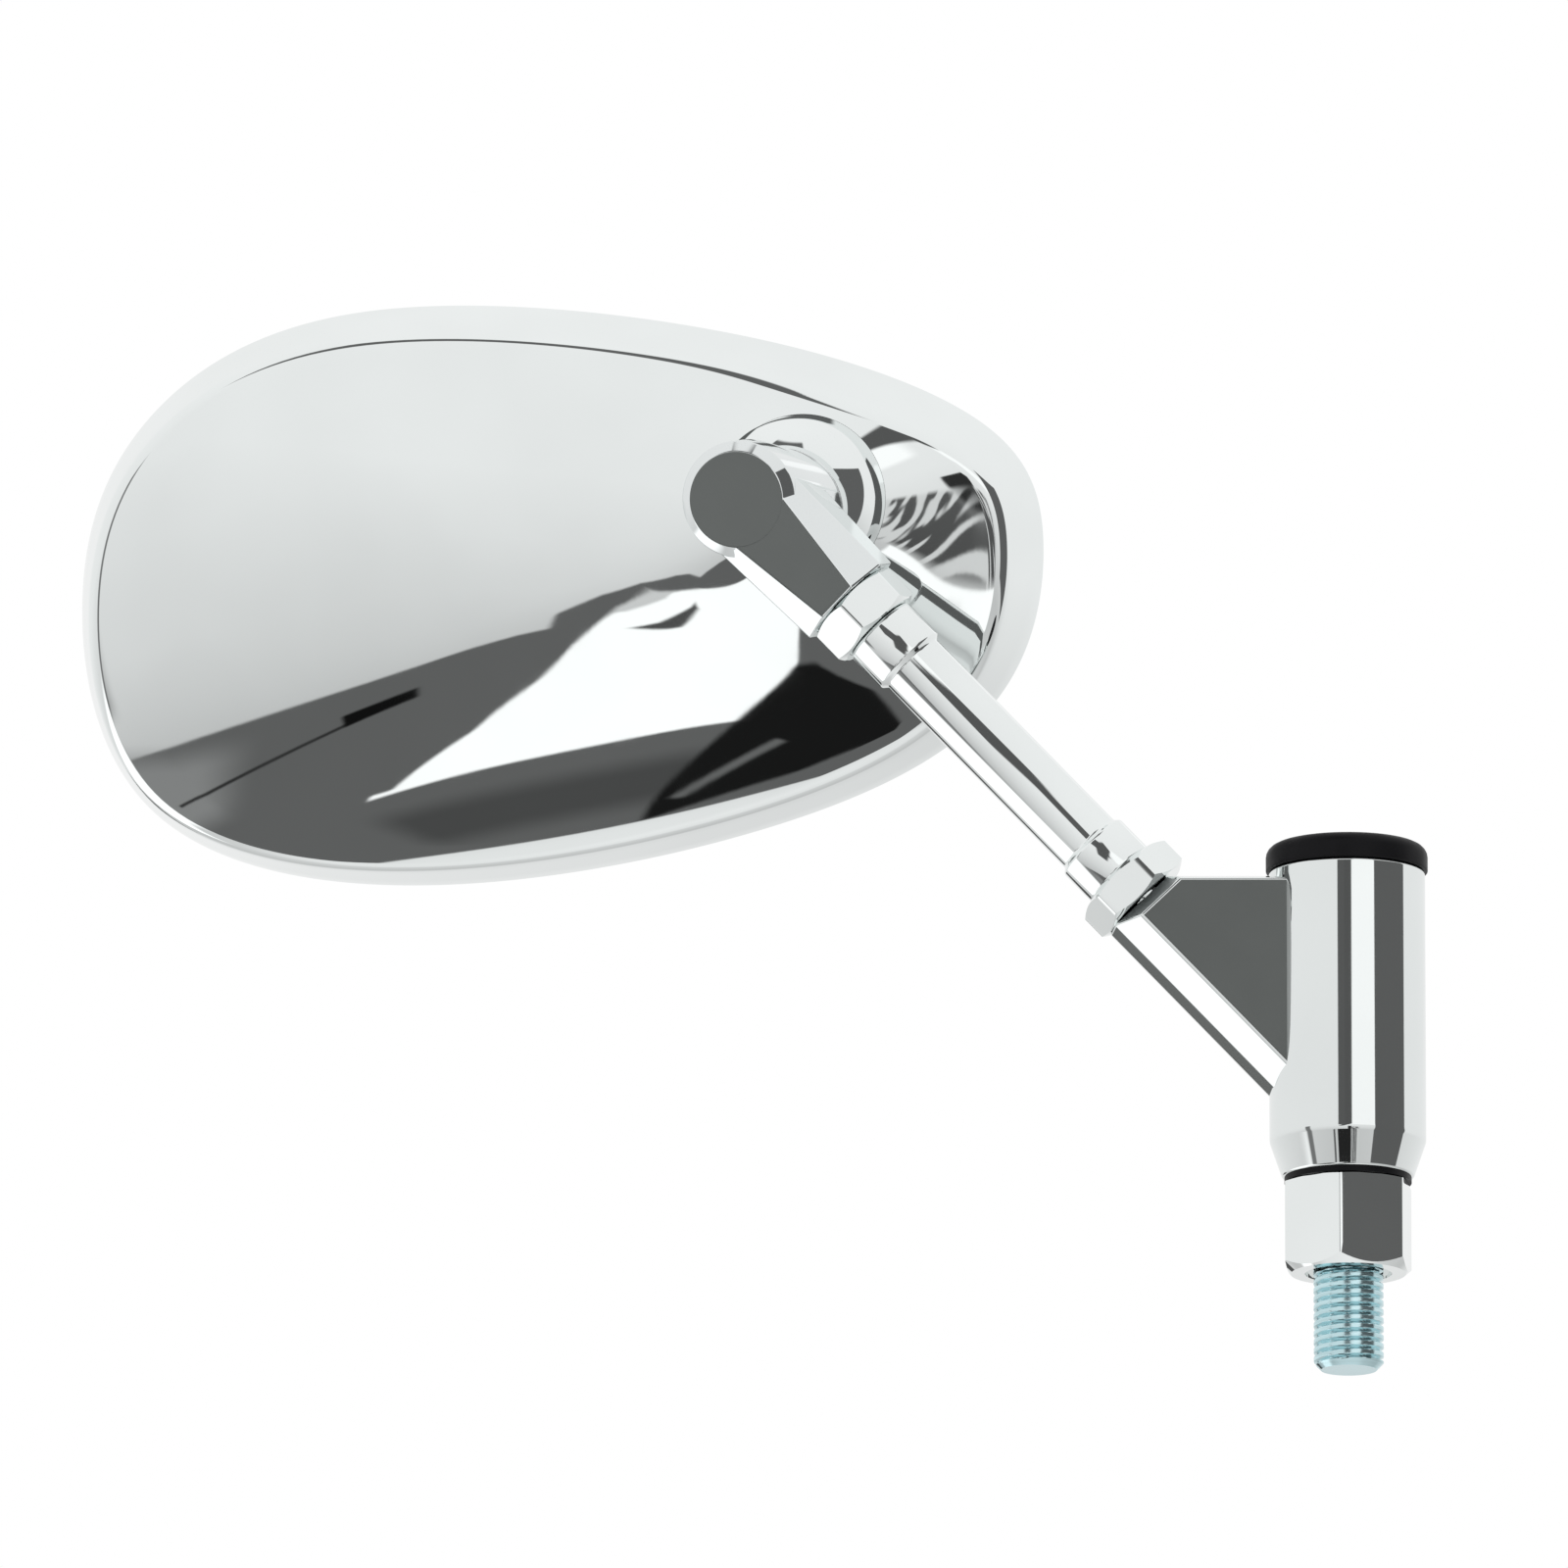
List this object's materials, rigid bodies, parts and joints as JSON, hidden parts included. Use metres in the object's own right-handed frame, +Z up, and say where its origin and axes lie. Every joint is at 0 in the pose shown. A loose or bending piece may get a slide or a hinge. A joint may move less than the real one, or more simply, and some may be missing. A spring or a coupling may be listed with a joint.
{
  "type": "motorcycle mirror",
  "caption": "Chrome rear-view mirror: convex glass in a teardrop shell on a ball joint, with an angled threaded stem and a spring-loaded swivel base on a threaded stud.",
  "frame": {"origin": "on the stud's axis, in the plane where the hex adapter seats on its boss", "axes": "+Z up along the stud, the stem leans towards -X, the back of the head faces -Y and the glass faces +Y"},
  "size_m": [0.1944, 0.0827, 0.1653],
  "materials": {
    "chrome": "bright chrome plate on metal",
    "chromed_shell": "bright chrome plate on a die-cast shell",
    "zinc_plate": "blue zinc plate on rolled thread",
    "steel": "plain machined steel",
    "spring_steel": "dark spring steel, oiled",
    "bronze": "sintered bronze",
    "natural_nylon": "natural nylon",
    "black_plastic": "satin black moulded plastic",
    "friction_fibre": "pressed friction fibre",
    "foam": "closed-cell adhesive foam tape",
    "mirror_glass": "convex silvered glass",
    "black_rubber": "black rubber, matt"
  },
  "bodies": {
    "mount": {"pivot_stud": "zinc_plate", "hex_adapter": "chrome", "lower_spring_washer": "steel", "tension_spring": "spring_steel", "upper_spring_washer": "steel", "lock_nut": "steel"},
    "arm": {"arm_casting": "chrome", "swivel_bush": "bronze", "sliding_washer": "black_plastic", "friction_disc": "friction_fibre", "end_cap": "black_plastic"},
    "stem": {"stem": "chrome", "lower_ring_nut": "chrome", "upper_ring_nut": "chrome", "elbow_casting": "chrome", "ball_stud": "steel"},
    "front_seat": {"front_ball_seat": "natural_nylon"},
    "rear_seat": {"rear_ball_seat": "natural_nylon"},
    "head": {"housing_shell": "chromed_shell", "pivot_boss": "chrome", "pressure_ring": "steel", "disc_spring": "spring_steel", "retaining_ring": "spring_steel", "carrier_plate": "black_plastic", "foam_tape": "foam", "mirror_glass": "mirror_glass", "rim_gasket": "black_rubber"}
  },
  "joints": [
    {"name": "base_swivel", "type": "hinge", "parent": "mount", "child": "arm", "pos_m": [0, 0, 0], "axis": [0, 0, 1], "continuous": true},
    {"name": "stem_twist", "type": "hinge", "parent": "arm", "child": "stem", "pos_m": [0, 0, 0.0243], "axis": [-0.6909, 0, 0.723], "range_deg": [-30, 30]},
    {"name": "head_roll", "type": "hinge", "parent": "stem", "child": "front_seat", "pos_m": [-0.07835, 0.02037, 0.11791], "axis": [0.1975, 0.9261, 0.3213], "range_deg": [-15, 15]},
    {"name": "head_turn", "type": "hinge", "parent": "front_seat", "child": "rear_seat", "pos_m": [-0.07835, 0.02037, 0.11791], "axis": [-0.0696, -0.3137, 0.947], "range_deg": [-15, 15]},
    {"name": "head_tilt", "type": "hinge", "parent": "rear_seat", "child": "head", "pos_m": [-0.07835, 0.02037, 0.11791], "axis": [0.9778, -0.2094, 0.0025], "range_deg": [-15, 15]}
  ]
}
